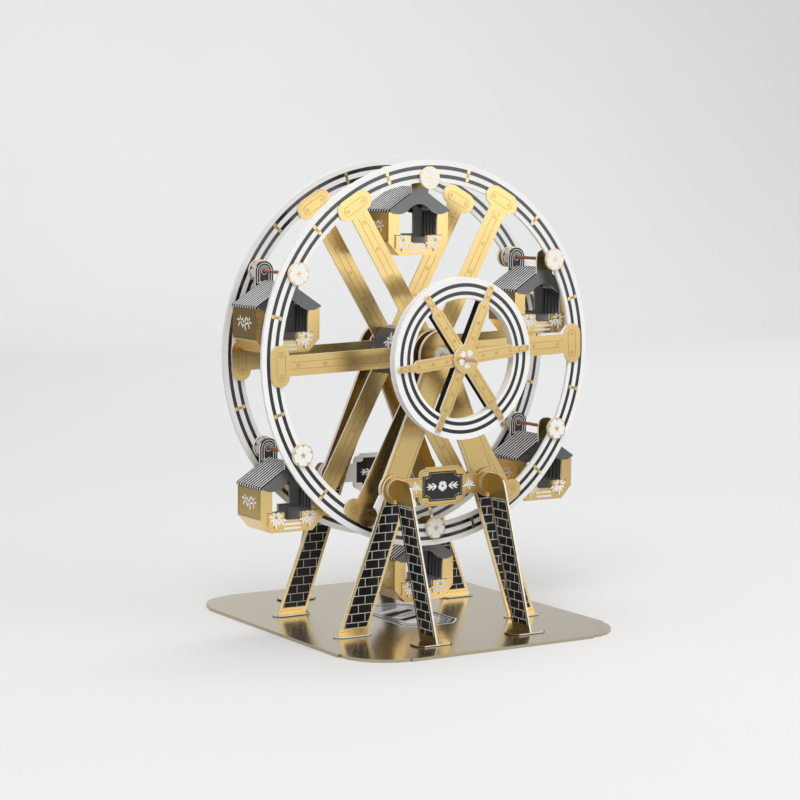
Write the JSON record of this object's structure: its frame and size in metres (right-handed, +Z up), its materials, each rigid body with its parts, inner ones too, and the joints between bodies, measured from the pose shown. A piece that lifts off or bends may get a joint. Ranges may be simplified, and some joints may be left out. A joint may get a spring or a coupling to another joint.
{
  "type": "toy ferris wheel",
  "caption": "Table-top ferris wheel kit of printed card on wooden dowels, with hanging gondolas, brick-print legs on a flat base and a hand-turned drive wheel on the shaft.",
  "frame": {"origin": "middle of the base plate's underside", "axes": "+Z up, -Y to the front where the drive wheel is, +X to the right; the wheel's shaft runs along Y"},
  "size_m": [0.2498, 0.234, 0.3026],
  "materials": {
    "gold_card": "satin, gold foil print",
    "base_foil": "satin, pale gold foil",
    "white_card": "matte",
    "black_card": "satin, printed",
    "slate_card": "satin, printed",
    "brick_card": "satin, printed",
    "wood": "matte, bare",
    "dowel_wood": "matte, stained"
  },
  "bodies": {
    "stand": {"base_plate": "base_foil", "front_frame": "gold_card", "back_frame": "gold_card", "front_bearing_washer": "white_card", "back_bearing_washer": "white_card", "front_sign_board": "gold_card", "back_sign_board": "gold_card", "front_left_knee_disc": "gold_card", "front_left_leg": "brick_card", "front_left_buttress": "brick_card", "front_right_knee_disc": "gold_card", "front_right_leg": "brick_card", "front_right_buttress": "brick_card", "back_left_knee_disc": "gold_card", "back_left_leg": "brick_card", "back_left_buttress": "brick_card", "back_right_knee_disc": "gold_card", "back_right_leg": "brick_card", "back_right_buttress": "brick_card"},
    "wheel": {"front_rim": "white_card", "back_rim": "white_card", "front_spoke_1": "gold_card", "front_spoke_2": "gold_card", "front_spoke_3": "gold_card", "front_spoke_4": "gold_card", "front_spoke_5": "gold_card", "front_spoke_6": "gold_card", "back_spoke_1": "gold_card", "back_spoke_2": "gold_card", "back_spoke_3": "gold_card", "back_spoke_4": "gold_card", "back_spoke_5": "gold_card", "back_spoke_6": "gold_card", "hub_drum": "slate_card", "front_hub_disc": "gold_card", "back_hub_disc": "gold_card", "main_shaft": "wood", "shaft_stop_disc": "white_card", "drive_ring": "white_card", "drive_front_star": "gold_card", "drive_back_star": "black_card", "drive_hub_disc": "gold_card"},
    "gondola_1": {"gondola_1_cabin": "gold_card", "gondola_1_roof": "black_card", "gondola_1_axle": "dowel_wood"},
    "gondola_2": {"gondola_2_cabin": "gold_card", "gondola_2_roof": "black_card", "gondola_2_axle": "dowel_wood"},
    "gondola_3": {"gondola_3_cabin": "gold_card", "gondola_3_roof": "black_card", "gondola_3_axle": "dowel_wood"},
    "gondola_4": {"gondola_4_cabin": "gold_card", "gondola_4_roof": "black_card", "gondola_4_axle": "dowel_wood"},
    "gondola_5": {"gondola_5_cabin": "gold_card", "gondola_5_roof": "black_card", "gondola_5_axle": "dowel_wood"},
    "gondola_6": {"gondola_6_cabin": "gold_card", "gondola_6_roof": "black_card", "gondola_6_axle": "dowel_wood"}
  },
  "joints": [
    {"name": "wheel_spin", "type": "hinge", "parent": "stand", "child": "wheel", "pos_m": [0, -0.003, 0.1777], "axis": [0, 1, 0], "continuous": true},
    {"name": "gondola_1_level", "type": "hinge", "parent": "wheel", "child": "gondola_1", "pos_m": [0.09636, -0.003, 0.23768], "axis": [0, 1, 0], "continuous": true},
    {"name": "gondola_2_level", "type": "hinge", "parent": "wheel", "child": "gondola_2", "pos_m": [-0.00376, -0.003, 0.29114], "axis": [0, 1, 0], "continuous": true},
    {"name": "gondola_3_level", "type": "hinge", "parent": "wheel", "child": "gondola_3", "pos_m": [-0.10012, -0.003, 0.23116], "axis": [0, 1, 0], "continuous": true},
    {"name": "gondola_4_level", "type": "hinge", "parent": "wheel", "child": "gondola_4", "pos_m": [-0.09636, -0.003, 0.11772], "axis": [0, 1, 0], "continuous": true},
    {"name": "gondola_5_level", "type": "hinge", "parent": "wheel", "child": "gondola_5", "pos_m": [0.00376, -0.003, 0.06426], "axis": [0, 1, 0], "continuous": true},
    {"name": "gondola_6_level", "type": "hinge", "parent": "wheel", "child": "gondola_6", "pos_m": [0.10012, -0.003, 0.12424], "axis": [0, 1, 0], "continuous": true}
  ],
  "couplings": [
    {"joint": "gondola_1_level", "follows": "wheel_spin", "ratio": -1},
    {"joint": "gondola_2_level", "follows": "wheel_spin", "ratio": -1},
    {"joint": "gondola_3_level", "follows": "wheel_spin", "ratio": -1},
    {"joint": "gondola_4_level", "follows": "wheel_spin", "ratio": -1},
    {"joint": "gondola_5_level", "follows": "wheel_spin", "ratio": -1},
    {"joint": "gondola_6_level", "follows": "wheel_spin", "ratio": -1}
  ]
}
